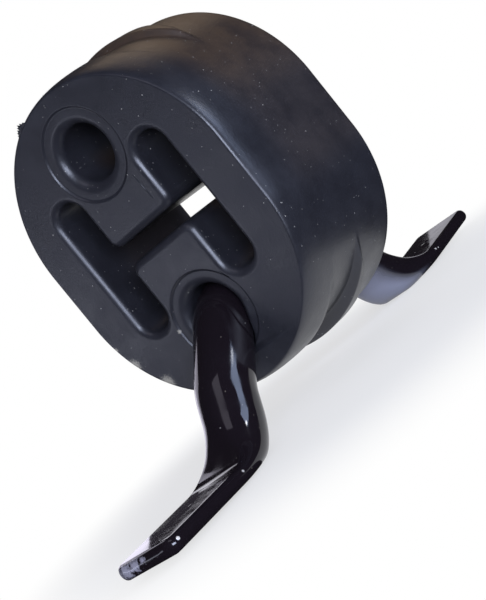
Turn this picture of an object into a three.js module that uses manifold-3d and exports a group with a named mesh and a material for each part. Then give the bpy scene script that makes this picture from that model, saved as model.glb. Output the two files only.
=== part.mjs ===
// Exhaust hanger: a moulded rubber block with an H-shaped slot and two eyes, hung on a bracket
// bent from one steel tube whose two ends are pressed flat into feet.
// Millimetres. +Z is up, the tube runs along Y, the block's front face looks towards -Y.
// The origin is on the floor under the middle of the block, level with the heels of the feet.

import * as THREE from 'three';
import { mergeVertices } from 'three/addons/utils/BufferGeometryUtils.js';
import Module from 'manifold-3d';

const wasm = await Module();
wasm.setup();

// Driving dimensions of the steel bracket
const tubeDiameter = 13.5;
const tubeWall = 1.6;
const tubeHeight = 28.5; // tube axis above the floor
const armSlope = 39.5; // degrees that an arm falls where it leaves the block
const armReach = 16.7; // middle of the block to the corner of the tube axis and the arm
const armBendRadius = 16;
const ankleSlope = 57; // degrees that the arm falls just before its foot
const ankleReach = 33.3; // middle of the block to the corner where the arm steepens
const ankleBendRadius = 16;
const heelOuterRadius = 14; // lower wall of the bend into the foot
const heelInnerRadius = 10; // upper wall of that bend
const footRise = 2.5; // degrees that the foot climbs from its heel to its tip
const footWidth = 18.6;
const footReach = 80.3; // middle of the block to the tip of a foot
const footCornerRadius = 2.8;
const footSeam = 0.2; // gap left between the two pressed walls

// Driving dimensions of the rubber block
const blockDepth = 41.2;
const endRadius = 33; // round ends, at mid depth
const endCentre = 7.7; // centre of each round end above or below the block's middle
const mouldDraft = 0.7; // how much the rear face is larger, and the front face smaller, than mid depth
const rearEdgeRadius = 1.2;
const frontTaper = 1.4; // the front rim narrows by this much, along a quarter of an ellipse
const frontTaperDepth = 5; // length of that quarter along the flanks
const rimDepth = 11.5; // front rim at the two ends, from the front face to the groove
const grooveWidth = 11.5;
const upperGrooveDepth = 0.8;
const lowerGrooveDepth = 2.3;
const ribRise = 1.2;
const ribWidth = 6.5;
const ribTipAngle = 33; // degrees round each end from the flank to the tip of the rib

// Driving dimensions of the eyes and the slot
const eyeSpacing = 45;
const eyeLift = 1.2; // middle between the eyes above the block's middle
const freeEyeRadius = 6.7;
const tubeClearance = 0.3;
const eyeLip = 2.4;
const eyeRingRadius = 11.1;
const eyeRingDepth = 0.4;
const tongueHalfWidth = 11;
const slotHalfWidth = 19.8;
const slotHalfHeight = 17.9;
const slotGap = 4.5; // clear height between the two tongues
const slotLift = 0.9; // middle of the slot above the block's middle
const slotLip = 1.8;
const tongueCornerRadius = 2.8;

// Fineness of the facets
const capSegments = 28;
const eyeSegments = 32;
const tubeSegments = 24;
const cornerSegments = 4;
const lipSegments = 3;
const bendSegments = 5;
const ankleSegments = 2;
const heelSegments = 12;
const cutOvershoot = 1;
const stepWidth = 0.5; // depth taken by a steep step between two stations

// Sizes that follow
const tubeRadius = tubeDiameter / 2;
const tubeEyeHeight = tubeHeight;
const freeEyeHeight = tubeEyeHeight + eyeSpacing;
const blockMiddle = tubeEyeHeight + eyeSpacing / 2 - eyeLift;
const slotMiddle = blockMiddle + slotLift;
const tubeEyeRadius = tubeRadius + tubeClearance;
const frontFace = -blockDepth / 2;
const rearFace = blockDepth / 2;
const grooveStart = frontFace + rimDepth;
const ribStart = grooveStart + grooveWidth;
const footThickness = 2 * tubeWall + footSeam;

const rad = (degrees) => (degrees * Math.PI) / 180;
const blend = (from, to, share) => from + (to - from) * share;
const easing = (from, to, value) => THREE.MathUtils.smoothstep(value, from, to);

// How far a rounded edge lies inside the sharp one, at a distance from its end face
function roundingLoss(radius, fromEnd) {
  const intoEdge = Math.max(radius - fromEnd, 0);
  return radius - Math.sqrt(Math.max(radius ** 2 - intoEdge ** 2, 0));
}

// A closed body from rings of equally many points, with a flat cap at each end.
// The flat outline of a ring gives the triangles of its cap.
function closedLoft(rings, firstOutline, lastOutline) {
  const count = rings[0].length;
  const positions = rings.flat().flatMap((point) => [point.x, point.y, point.z]);
  const index = [];
  for (let ring = 0; ring < rings.length - 1; ring += 1) {
    for (let i = 0; i < count; i += 1) {
      const a = ring * count + i;
      const b = ring * count + ((i + 1) % count);
      index.push(a, b, b + count, a, b + count, a + count);
    }
  }
  const addCap = (outline, start, along) => {
    const turn = Math.sign(THREE.ShapeUtils.area(outline));
    for (const [a, b, c] of THREE.ShapeUtils.triangulateShape(outline, [])) {
      const side = Math.sign(THREE.ShapeUtils.area([outline[a], outline[b], outline[c]]));
      const ordered = side * turn > 0 === along ? [a, b, c] : [a, c, b];
      index.push(...ordered.map((corner) => start + corner));
    }
  };
  addCap(firstOutline, 0, false);
  addCap(lastOutline, (rings.length - 1) * count, true);
  const geometry = new THREE.BufferGeometry();
  geometry.setAttribute('position', new THREE.Float32BufferAttribute(positions, 3));
  geometry.setIndex(signedVolume(positions, index) < 0 ? index.reverse() : index);
  return geometry;
}

function signedVolume(positions, index) {
  const corner = (i) => new THREE.Vector3().fromArray(positions, 3 * index[i]);
  let sum = 0;
  for (let i = 0; i < index.length; i += 3) {
    sum += corner(i).dot(corner(i + 1).cross(corner(i + 2)));
  }
  return sum / 6;
}

function solidFrom(source) {
  const bare = source.clone();
  bare.deleteAttribute('normal');
  bare.deleteAttribute('uv');
  const merged = mergeVertices(bare, 1e-4);
  const vertProperties = new Float32Array(merged.attributes.position.array);
  const triVerts = new Uint32Array(merged.index.array);
  return new wasm.Manifold(new wasm.Mesh({ numProp: 3, vertProperties, triVerts }));
}

function meshFrom(name, solid, material) {
  const { vertProperties, triVerts } = solid.getMesh();
  const geometry = new THREE.BufferGeometry();
  geometry.setAttribute('position', new THREE.BufferAttribute(new Float32Array(vertProperties), 3));
  geometry.setIndex(new THREE.BufferAttribute(new Uint32Array(triVerts), 1));
  geometry.computeVertexNormals();
  const mesh = new THREE.Mesh(geometry, material);
  mesh.name = name;
  return mesh;
}

// Rubber block: outline at one depth. Each end is half a circle whose radius changes with depth,
// and round the ends it dips into a shallow groove and then rises over a rib with pointed tips.

function bodyRadius(depth, angle) {
  const flank = endRadius + (mouldDraft * depth) / rearFace;
  const towardsApex = Math.sin(rad(angle));
  const taperEnd = frontFace + blend(frontTaperDepth, rimDepth, towardsApex ** 2);
  const beforeEnd = THREE.MathUtils.clamp((taperEnd - depth) / (taperEnd - frontFace), 0, 1);
  return flank - frontTaper * (1 - Math.sqrt(1 - beforeEnd ** 2));
}

function endRelief(depth, angle, grooveDepth) {
  const fromTip = 90 - Math.abs(90 - angle) - ribTipAngle;
  const grooveShare = easing(0, 90 - ribTipAngle, fromTip);
  const inGroove = depth >= grooveStart + stepWidth && depth <= ribStart;
  const ribShare = easing(0, 16, fromTip);
  const ribEnd = ribStart + stepWidth + ribWidth * easing(0, 40, fromTip);
  const onRib = depth > ribStart ? 1 - easing(ribEnd - 1, ribEnd + 1, depth) : 0;
  return ribRise * ribShare * onRib - (inGroove ? grooveDepth * grooveShare : 0);
}

function blockOutline(depth) {
  const edgeLoss = roundingLoss(rearEdgeRadius, rearFace - depth);
  const points = [];
  for (const [side, grooveDepth] of [[1, upperGrooveDepth], [-1, lowerGrooveDepth]]) {
    for (let i = 0; i <= capSegments; i += 1) {
      const angle = (180 * i) / capSegments;
      const radius = bodyRadius(depth, angle) + endRelief(depth, angle, grooveDepth) - edgeLoss;
      const x = side * radius * Math.cos(rad(angle));
      points.push(new THREE.Vector2(x, blockMiddle + side * (endCentre + radius * Math.sin(rad(angle)))));
    }
  }
  return points;
}

function blockStations() {
  const turns = [0, 0.25, 0.6, 1];
  const taper = [0, 0.04, 0.14, 0.34, 0.62, 1].map((share) => share * frontTaperDepth);
  const front = [...taper, (frontTaperDepth + rimDepth) / 2, rimDepth];
  const groove = [stepWidth, grooveWidth / 2, grooveWidth];
  const rib = [1, 0.4 * ribWidth, 0.7 * ribWidth, ribWidth, ribWidth + 1, ribWidth + 2];
  const rearEdge = turns.map((share) => rearFace - share * rearEdgeRadius).reverse();
  return [
    ...front.map((depth) => frontFace + depth),
    ...groove.map((depth) => grooveStart + depth),
    ...rib.map((depth) => ribStart + depth),
    ...rearEdge,
  ];
}

const placeAtDepth = (outline, depth) => outline.map((point) => new THREE.Vector3(point.x, depth, point.y));

function blockBody() {
  const outlines = blockStations().map((depth) => [depth, blockOutline(depth)]);
  const rings = outlines.map(([depth, outline]) => placeAtDepth(outline, depth));
  return closedLoft(rings, outlines[0][1], outlines.at(-1)[1]);
}

// A cutter through the whole depth whose outline swells into a rounded lip at both faces
function lippedCutter(outlineAt, lip) {
  const half = [{ depth: -cutOvershoot, grow: lip }];
  for (let i = 0; i <= lipSegments; i += 1) {
    const turn = rad((90 * i) / lipSegments);
    half.push({ depth: lip * (1 - Math.cos(turn)), grow: lip * (1 - Math.sin(turn)) });
  }
  const front = half.map(({ depth, grow }) => ({ at: frontFace + depth, grow }));
  const rear = half.map(({ depth, grow }) => ({ at: rearFace - depth, grow })).reverse();
  const stations = [...front, ...rear];
  const rings = stations.map(({ at, grow }) => placeAtDepth(outlineAt(grow), at));
  return closedLoft(rings, outlineAt(lip), outlineAt(lip));
}

function circleOutline(radius, height) {
  const points = [];
  for (let i = 0; i < eyeSegments; i += 1) {
    const turn = (2 * Math.PI * i) / eyeSegments;
    points.push(new THREE.Vector2(radius * Math.cos(turn), height + radius * Math.sin(turn)));
  }
  return points;
}

// Rounds each corner of a polygon given counter-clockwise
function roundedOutline(corners) {
  const points = [];
  corners.forEach(({ at, radius }, i) => {
    const before = corners.at(i - 1).at.clone().sub(at).normalize();
    const after = corners[(i + 1) % corners.length].at.clone().sub(at).normalize();
    const centre = at.clone().addScaledVector(before, radius).addScaledVector(after, radius);
    for (let k = 0; k <= cornerSegments; k += 1) {
      const turn = rad((90 * k) / cornerSegments);
      const point = centre.clone().addScaledVector(after, -radius * Math.cos(turn));
      points.push(point.addScaledVector(before, -radius * Math.sin(turn)));
    }
  });
  return points;
}

// The H slot: two upright legs joined by the gap between the tongues
function slotOutline(grow) {
  const inner = tongueHalfWidth - grow;
  const outer = slotHalfWidth + grow;
  const top = slotHalfHeight + grow;
  const gap = slotGap / 2 + grow;
  const legRadius = (slotHalfWidth - tongueHalfWidth) / 2 - 0.2 + grow;
  const tongueRadius = Math.max(tongueCornerRadius - grow, 0.2);
  const corners = [
    [inner, gap, tongueRadius], [-inner, gap, tongueRadius], [-inner, top, legRadius], [-outer, top, legRadius],
    [-outer, -top, legRadius], [-inner, -top, legRadius], [-inner, -gap, tongueRadius], [inner, -gap, tongueRadius],
    [inner, -top, legRadius], [outer, -top, legRadius], [outer, top, legRadius], [inner, top, legRadius],
  ];
  return roundedOutline(corners.map(([x, z, radius]) => ({ at: new THREE.Vector2(x, slotMiddle + z), radius })));
}

function ringRecess(height, face) {
  const rings = [face - eyeRingDepth, face + eyeRingDepth];
  const outline = circleOutline(eyeRingRadius, height);
  return closedLoft(rings.map((depth) => placeAtDepth(outline, depth)), outline, outline);
}

// Steel bracket, seen square to its plane: x runs outwards along one arm and y runs up.
// A station is a pair of points, one on the tube's upper wall line and one on its lower.
const runAlong = (fall) => new THREE.Vector2(Math.cos(rad(fall)), -Math.sin(rad(fall)));
const squareTo = (fall) => new THREE.Vector2(Math.sin(rad(fall)), Math.cos(rad(fall)));
const offset = (point, direction, distance) => point.clone().addScaledVector(direction, distance);

function crossing(point, fall, otherPoint, otherFall) {
  const gap = otherPoint.clone().sub(point);
  const across = squareTo(otherFall);
  return offset(point, runAlong(fall), gap.dot(across) / runAlong(fall).dot(across));
}

// Stations round a bend at which the round tube falls more steeply
function bendStations(corner, before, after, radius, segments) {
  const start = offset(corner, runAlong(before), -radius * Math.tan(rad(after - before) / 2));
  const centre = offset(start, squareTo(before), -radius);
  const stations = [];
  for (let i = 0; i <= segments; i += 1) {
    const up = squareTo(blend(before, after, i / segments));
    const upper = offset(centre, up, radius + tubeRadius);
    stations.push({ upper, lower: offset(centre, up, radius - tubeRadius) });
  }
  return stations;
}

// One wall line through the heel: down the arm, round the bend and out along the foot
function heelWall(start, footPoint, radius, end) {
  const corner = crossing(start, ankleSlope, footPoint, -footRise);
  const tangent = radius * Math.tan(rad(ankleSlope + footRise) / 2);
  const bendStart = offset(corner, runAlong(ankleSlope), -tangent);
  const centre = offset(bendStart, squareTo(ankleSlope), radius);
  const down = -Math.PI / 2;
  const wall = new THREE.Path();
  wall.moveTo(start.x, start.y);
  wall.lineTo(bendStart.x, bendStart.y);
  wall.absarc(centre.x, centre.y, radius, down - rad(ankleSlope), down + rad(footRise), false);
  wall.lineTo(end.x, end.y);
  return wall;
}

// The heel, where the tube is pressed flat: the outer wall bends wide, the inner wall bends sharply
function heelStations(ankle) {
  const lowerWall = offset(ankle, squareTo(ankleSlope), -tubeRadius);
  const drop = lowerWall.y + heelOuterRadius * (Math.cos(rad(ankleSlope)) - 1);
  const lowerStart = offset(lowerWall, runAlong(ankleSlope), drop / Math.sin(rad(ankleSlope)));
  const upperStart = offset(lowerStart, squareTo(ankleSlope), tubeDiameter);
  const centre = offset(lowerStart, squareTo(ankleSlope), heelOuterRadius);
  const footUnderside = offset(centre, squareTo(-footRise), -heelOuterRadius);
  const footTop = offset(footUnderside, squareTo(-footRise), footThickness);
  const innerCorner = crossing(upperStart, ankleSlope, footTop, -footRise);
  const innerTangent = heelInnerRadius * Math.tan(rad(ankleSlope + footRise) / 2);
  const upperEnd = offset(innerCorner, runAlong(-footRise), 1.2 * innerTangent);
  const lowerEnd = offset(upperEnd, squareTo(-footRise), -footThickness);
  const upper = heelWall(upperStart, footTop, heelInnerRadius, upperEnd);
  const lower = heelWall(lowerStart, footUnderside, heelOuterRadius, lowerEnd);
  const stations = [];
  for (let i = 0; i <= heelSegments; i += 1) {
    stations.push({ upper: upper.getPointAt(i / heelSegments), lower: lower.getPointAt(i / heelSegments) });
  }
  return stations;
}

// The foot's tip, narrowing round its corners
function tipStations({ upper, lower }) {
  const outwards = runAlong(-footRise);
  const length = (footReach - (upper.x + lower.x) / 2) / outwards.x;
  const stations = [];
  for (let i = 0; i <= cornerSegments; i += 1) {
    const fromTip = footCornerRadius * (1 - Math.sin(rad((90 * i) / cornerSegments)));
    const reach = length - fromTip;
    stations.push({ upper: offset(upper, outwards, reach), lower: offset(lower, outwards, reach), fromTip });
  }
  return stations;
}

function armStations() {
  const armCorner = new THREE.Vector2(armReach, tubeHeight);
  const ankle = crossing(armCorner, armSlope, new THREE.Vector2(ankleReach, 0), 90);
  const heel = heelStations(ankle);
  return [
    ...bendStations(armCorner, 0, armSlope, armBendRadius, bendSegments),
    ...bendStations(ankle, armSlope, ankleSlope, ankleBendRadius, ankleSegments),
    ...heel,
    ...tipStations(heel.at(-1)),
  ];
}

// A pressed tube keeps its girth, so it widens evenly as its walls close up
function sectionSize({ upper, lower, fromTip = footCornerRadius }) {
  const halfThickness = upper.distanceTo(lower) / 2;
  const pressed = (tubeRadius - halfThickness) / (tubeRadius - footThickness / 2);
  const halfWidth = blend(tubeRadius, footWidth / 2, pressed) - roundingLoss(footCornerRadius, fromTip);
  return { halfWidth, halfThickness };
}

// Two half circles and the flats between them
function sectionOutline({ halfWidth, halfThickness }, inset = 0) {
  const thickness = Math.max(halfThickness - inset, footSeam / 2);
  const side = Math.max(halfWidth - inset - thickness, 0);
  const half = tubeSegments / 2;
  const radius = thickness / Math.cos(Math.PI / tubeSegments);
  const points = [];
  for (const sign of [1, -1]) {
    for (let i = 0; i < half; i += 1) {
      const turn = (Math.PI * (i + 0.5)) / half - Math.PI / 2;
      points.push(new THREE.Vector2(sign * (side + radius * Math.cos(turn)), sign * radius * Math.sin(turn)));
    }
  }
  return points;
}

// A section between the two wall lines, on the rear arm (side 1) or the front arm (side -1)
function placeOnArm({ upper, lower }, outline, side) {
  const middle = upper.clone().add(lower).multiplyScalar(0.5);
  const up = upper.clone().sub(lower).normalize();
  return outline.map(({ x, y }) => {
    const point = offset(middle, up, y);
    return new THREE.Vector3(x, side * point.x, point.y);
  });
}

function sweepAlongArms(stations, outlineAt) {
  const outward = stations.map((station) => [station, outlineAt(station)]);
  const front = outward.map(([station, outline]) => placeOnArm(station, outline, -1)).reverse();
  const rear = outward.map(([station, outline]) => placeOnArm(station, outline, 1));
  const tipOutline = outward.at(-1)[1];
  return closedLoft([...front, ...rear], tipOutline, tipOutline);
}

function bracketSolid() {
  const stations = armStations();
  const outside = sweepAlongArms(stations, (station) => sectionOutline(sectionSize(station)));
  const tip = stations.at(-1);
  const pastTip = {
    upper: offset(tip.upper, runAlong(-footRise), cutOvershoot),
    lower: offset(tip.lower, runAlong(-footRise), cutOvershoot),
  };
  const boreStations = stations.filter(({ fromTip }) => fromTip === undefined);
  const inside = sweepAlongArms([...boreStations, pastTip], (station) => sectionOutline(sectionSize(station), tubeWall));
  return solidFrom(outside).subtract(solidFrom(inside));
}

// Way for the tube through its eye: it follows the arms' bends, with clearance all round
function tubeWay() {
  const bend = bendStations(new THREE.Vector2(armReach, tubeHeight), 0, armSlope, armBendRadius, bendSegments);
  const { upper, lower } = bend.at(-1);
  const further = runAlong(armSlope);
  bend.push({ upper: offset(upper, further, tubeDiameter), lower: offset(lower, further, tubeDiameter) });
  return solidFrom(sweepAlongArms(bend, () => circleOutline(tubeEyeRadius, 0)));
}

function rubberSolid() {
  const cutters = [
    lippedCutter(slotOutline, slotLip),
    lippedCutter((grow) => circleOutline(freeEyeRadius + grow, freeEyeHeight), eyeLip),
    lippedCutter((grow) => circleOutline(tubeEyeRadius + grow, tubeEyeHeight), eyeLip),
  ];
  for (const face of [frontFace, rearFace]) {
    cutters.push(ringRecess(freeEyeHeight, face), ringRecess(tubeEyeHeight, face));
  }
  const cut = cutters.reduce((body, cutter) => body.subtract(solidFrom(cutter)), solidFrom(blockBody()));
  return cut.subtract(tubeWay());
}

const rubber = new THREE.MeshStandardMaterial({ color: 0x26272b, roughness: 0.62, metalness: 0 });
const blackEnamel = new THREE.MeshStandardMaterial({ color: 0x0d0c0f, roughness: 0.16, metalness: 0 });

const hanger = new THREE.Group();
hanger.add(meshFrom('rubber_block', rubberSolid(), rubber));
hanger.add(meshFrom('tube_bracket', bracketSolid(), blackEnamel));

export default hanger;
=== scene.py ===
"""Exhaust hanger: a moulded rubber block with an H-shaped slot, on a black enamelled tube bracket.

Sizes are in millimetres and angles in degrees until a mesh is made, and the meshes are in metres.
+Z is up, the tube runs along Y and the block's front face looks towards -Y.
"""

import logging
import math
from collections.abc import Callable, Iterable, Sequence
from dataclasses import dataclass, field
from enum import Enum

import bmesh
import bpy
from mathutils import Matrix, Vector
from mathutils.geometry import tessellate_polygon


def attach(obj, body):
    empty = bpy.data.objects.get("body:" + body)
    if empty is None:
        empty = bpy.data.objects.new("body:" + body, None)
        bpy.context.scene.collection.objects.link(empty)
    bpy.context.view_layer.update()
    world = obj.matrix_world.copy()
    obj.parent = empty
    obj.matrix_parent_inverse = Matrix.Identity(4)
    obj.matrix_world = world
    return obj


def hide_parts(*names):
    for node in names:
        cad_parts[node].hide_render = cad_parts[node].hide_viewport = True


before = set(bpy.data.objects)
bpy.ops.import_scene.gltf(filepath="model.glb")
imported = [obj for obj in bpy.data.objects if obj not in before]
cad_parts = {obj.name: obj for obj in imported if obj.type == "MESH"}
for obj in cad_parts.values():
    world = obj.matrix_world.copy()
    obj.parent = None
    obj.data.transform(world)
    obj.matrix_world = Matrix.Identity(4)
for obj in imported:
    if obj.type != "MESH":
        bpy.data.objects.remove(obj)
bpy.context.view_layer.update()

MM = 0.001

# an outline's X and Z, a ring's point numbers, a range, X Y Z, and X Y Z with a radius
Outline = list[tuple[float, float]]
Loop = list[int]
Span = tuple[float, float]
Place = tuple[float, float, float]
Spot = tuple[float, float, float, float]
Tree = bpy.types.NodeTree
Socket = bpy.types.NodeSocket

# a frayed spot in shares of its radius, and how much it hides of what lies under it
FRAY_PUSH = 2.4
SPOT_FULL = 1.7
SPOT_GONE = 2.3
SPOT_COVER = 0.8

logger = logging.getLogger("exhaust_hanger")


class Face(Enum):
    """The block's two flat faces, and the arms that leave through them."""

    FRONT = -1
    REAR = 1


class End(Enum):
    """The two round ends of the block."""

    UPPER = 1
    LOWER = -1


def blend(start: float, end: float, share: float) -> float:
    """Returns the value at a share of the way from start to end."""
    return start + (end - start) * share


def easing(start: float, end: float, value: float) -> float:
    """Returns 0 before start, 1 after end and an even S-curve between them."""
    share = min(max((value - start) / (end - start), 0.0), 1.0)
    return share * share * (3 - 2 * share)


def rounding_loss(radius: float, from_end: float) -> float:
    """Returns how far an edge rounded to a radius lies inside the sharp one, near its end face."""
    into_edge = max(radius - from_end, 0.0)
    return radius - math.sqrt(max(radius**2 - into_edge**2, 0.0))


def linear(colour: str) -> tuple[float, float, float, float]:
    """Turns an sRGB colour into a linear one.

    Args:
        colour: a hex colour such as "#2a2b30".

    Returns:
        Linear red, green, blue and alpha.
    """
    channels = [int(colour[i : i + 2], 16) / 255 for i in (1, 3, 5)]
    red, green, blue = (
        c / 12.92 if c <= 0.04045 else ((c + 0.055) / 1.055) ** 2.4 for c in channels
    )
    return red, green, blue, 1.0


def add_node(
    tree: Tree, kind: str, settings: dict | None = None, inputs: dict | None = None
) -> bpy.types.Node:
    """Adds a node to a tree.

    Args:
        tree: the node tree.
        kind: the node's type name.
        settings: values for the node's own properties.
        inputs: for each input, by name or number, a value or the output socket to link from.

    Returns:
        The new node.
    """
    node = tree.nodes.new(kind)
    for name, value in (settings or {}).items():
        setattr(node, name, value)
    for name, value in (inputs or {}).items():
        if isinstance(value, Socket):
            tree.links.new(value, node.inputs[name])
        else:
            node.inputs[name].default_value = value
    return node


def add_object(name: str, data: bpy.types.ID) -> bpy.types.Object:
    """Adds an object to the scene.

    Args:
        name: the object's name.
        data: its mesh, lamp or camera.

    Returns:
        The object.
    """
    added = bpy.data.objects.new(name, data)
    bpy.context.scene.collection.objects.link(added)
    return added


def new_material(name: str) -> tuple[bpy.types.Material, Tree]:
    """Makes a material.

    Args:
        name: the material's name.

    Returns:
        The material and its empty node tree.
    """
    material = bpy.data.materials.new(name)
    material.use_nodes = True
    material.node_tree.nodes.clear()
    return material, material.node_tree


def overlap(tree: Tree, *masks: Socket) -> Socket:
    """Multiplies masks.

    Args:
        tree: the material's node tree.
        masks: the masks, each from 0 to 1.

    Returns:
        The mask of what lies under all of them.
    """
    shared, *others = masks
    for mask in others:
        shared = add_node(tree, "ShaderNodeMath", {"operation": "MULTIPLY"}, {
            0: shared, 1: mask}).outputs[0]
    return shared


def soft_area(tree: Tree, limits: Sequence[tuple[Socket, float, float]]) -> Socket:
    """Masks an area with soft borders.

    Args:
        tree: the material's node tree.
        limits: each value that bounds the area, where it starts to count and where it is full.

    Returns:
        The mask.
    """
    return overlap(tree, *[
        add_node(tree, "ShaderNodeMapRange", {"interpolation_type": "SMOOTHSTEP"}, {
            "Value": value, "From Min": start, "From Max": full}).outputs[0]
        for value, start, full in limits
    ])


def place_and_facing(tree: Tree, where: Socket) -> tuple[bpy.types.Node, bpy.types.Node]:
    """Splits where a surface point lies and where it faces into X, Y and Z.

    Args:
        tree: the material's node tree.
        where: the object coordinates.

    Returns:
        The node with the parts of the place and the one with those of the direction.
    """
    place = add_node(tree, "ShaderNodeSeparateXYZ", inputs={"Vector": where})
    normal = add_node(tree, "ShaderNodeNewGeometry").outputs["Normal"]
    facing = add_node(tree, "ShaderNodeSeparateXYZ", inputs={"Vector": normal})
    return place, facing


def add_specks(
    tree: Tree, where: Socket, cell: float, radius: float, channel: int, bare_share: float
) -> Socket:
    """Masks stray specks, one at most in each cell.

    Args:
        tree: the material's node tree.
        where: the object coordinates.
        cell: a cell's width in millimetres.
        radius: a speck's radius in cell widths.
        channel: the channel of the cells' random colours that picks those with a speck.
        bare_share: the share of cells without one.

    Returns:
        The mask.
    """
    cells = add_node(tree, "ShaderNodeTexVoronoi", inputs={"Vector": where, "Scale": 1 / (cell * MM)})
    small = add_node(tree, "ShaderNodeMath", {"operation": "LESS_THAN"}, {
        0: cells.outputs["Distance"], 1: radius})
    picked = add_node(tree, "ShaderNodeSeparateColor", inputs={"Color": cells.outputs["Color"]})
    some = add_node(tree, "ShaderNodeMath", {"operation": "GREATER_THAN"}, {
        0: picked.outputs[channel], 1: bare_share})
    return overlap(tree, small.outputs[0], some.outputs[0])


def add_spots(
    tree: Tree, where: Socket, fray: Socket, colour: Socket, shade: str, spots: tuple[Spot, ...]
) -> Socket:
    """Lays single spots with frayed edges over a colour.

    Args:
        tree: the material's node tree.
        where: the object coordinates.
        fray: a fine noise that frays the edges.
        colour: the colour so far.
        shade: the spots' colour.
        spots: the place and the radius of each, in millimetres.

    Returns:
        The socket of the new colour.
    """
    for x, y, z, radius in spots:
        away = add_node(tree, "ShaderNodeVectorMath", {"operation": "DISTANCE"}, {
            0: where, 1: (x * MM, y * MM, z * MM)})
        frayed = add_node(tree, "ShaderNodeMath", {"operation": "MULTIPLY_ADD"}, {
            0: fray, 1: FRAY_PUSH * radius * MM, 2: away.outputs["Value"]})
        share = add_node(tree, "ShaderNodeMapRange", inputs={
            "Value": frayed.outputs[0], "From Min": SPOT_FULL * radius * MM,
            "From Max": SPOT_GONE * radius * MM, "To Min": SPOT_COVER, "To Max": 0.0})
        colour = add_node(tree, "ShaderNodeMix", {"data_type": "RGBA"}, {
            "Factor": share.outputs[0], 6: colour, 7: linear(shade)}).outputs[2]
    return colour


def seen_or_mirrored(tree: Tree) -> Socket:
    """Tells the rays that show a surface from those that only light the object.

    Args:
        tree: the node tree.

    Returns:
        The socket that is 1 for rays from the camera, off gloss or through glass, and else 0.
    """
    rays = add_node(tree, "ShaderNodeLightPath")
    mirrored = add_node(tree, "ShaderNodeMath", {"operation": "MAXIMUM"}, {
        0: rays.outputs["Is Glossy Ray"], 1: rays.outputs["Is Transmission Ray"]})
    shown = add_node(tree, "ShaderNodeMath", {"operation": "MAXIMUM"}, {
        0: rays.outputs["Is Camera Ray"], 1: mirrored.outputs[0]})
    return shown.outputs[0]


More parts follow.
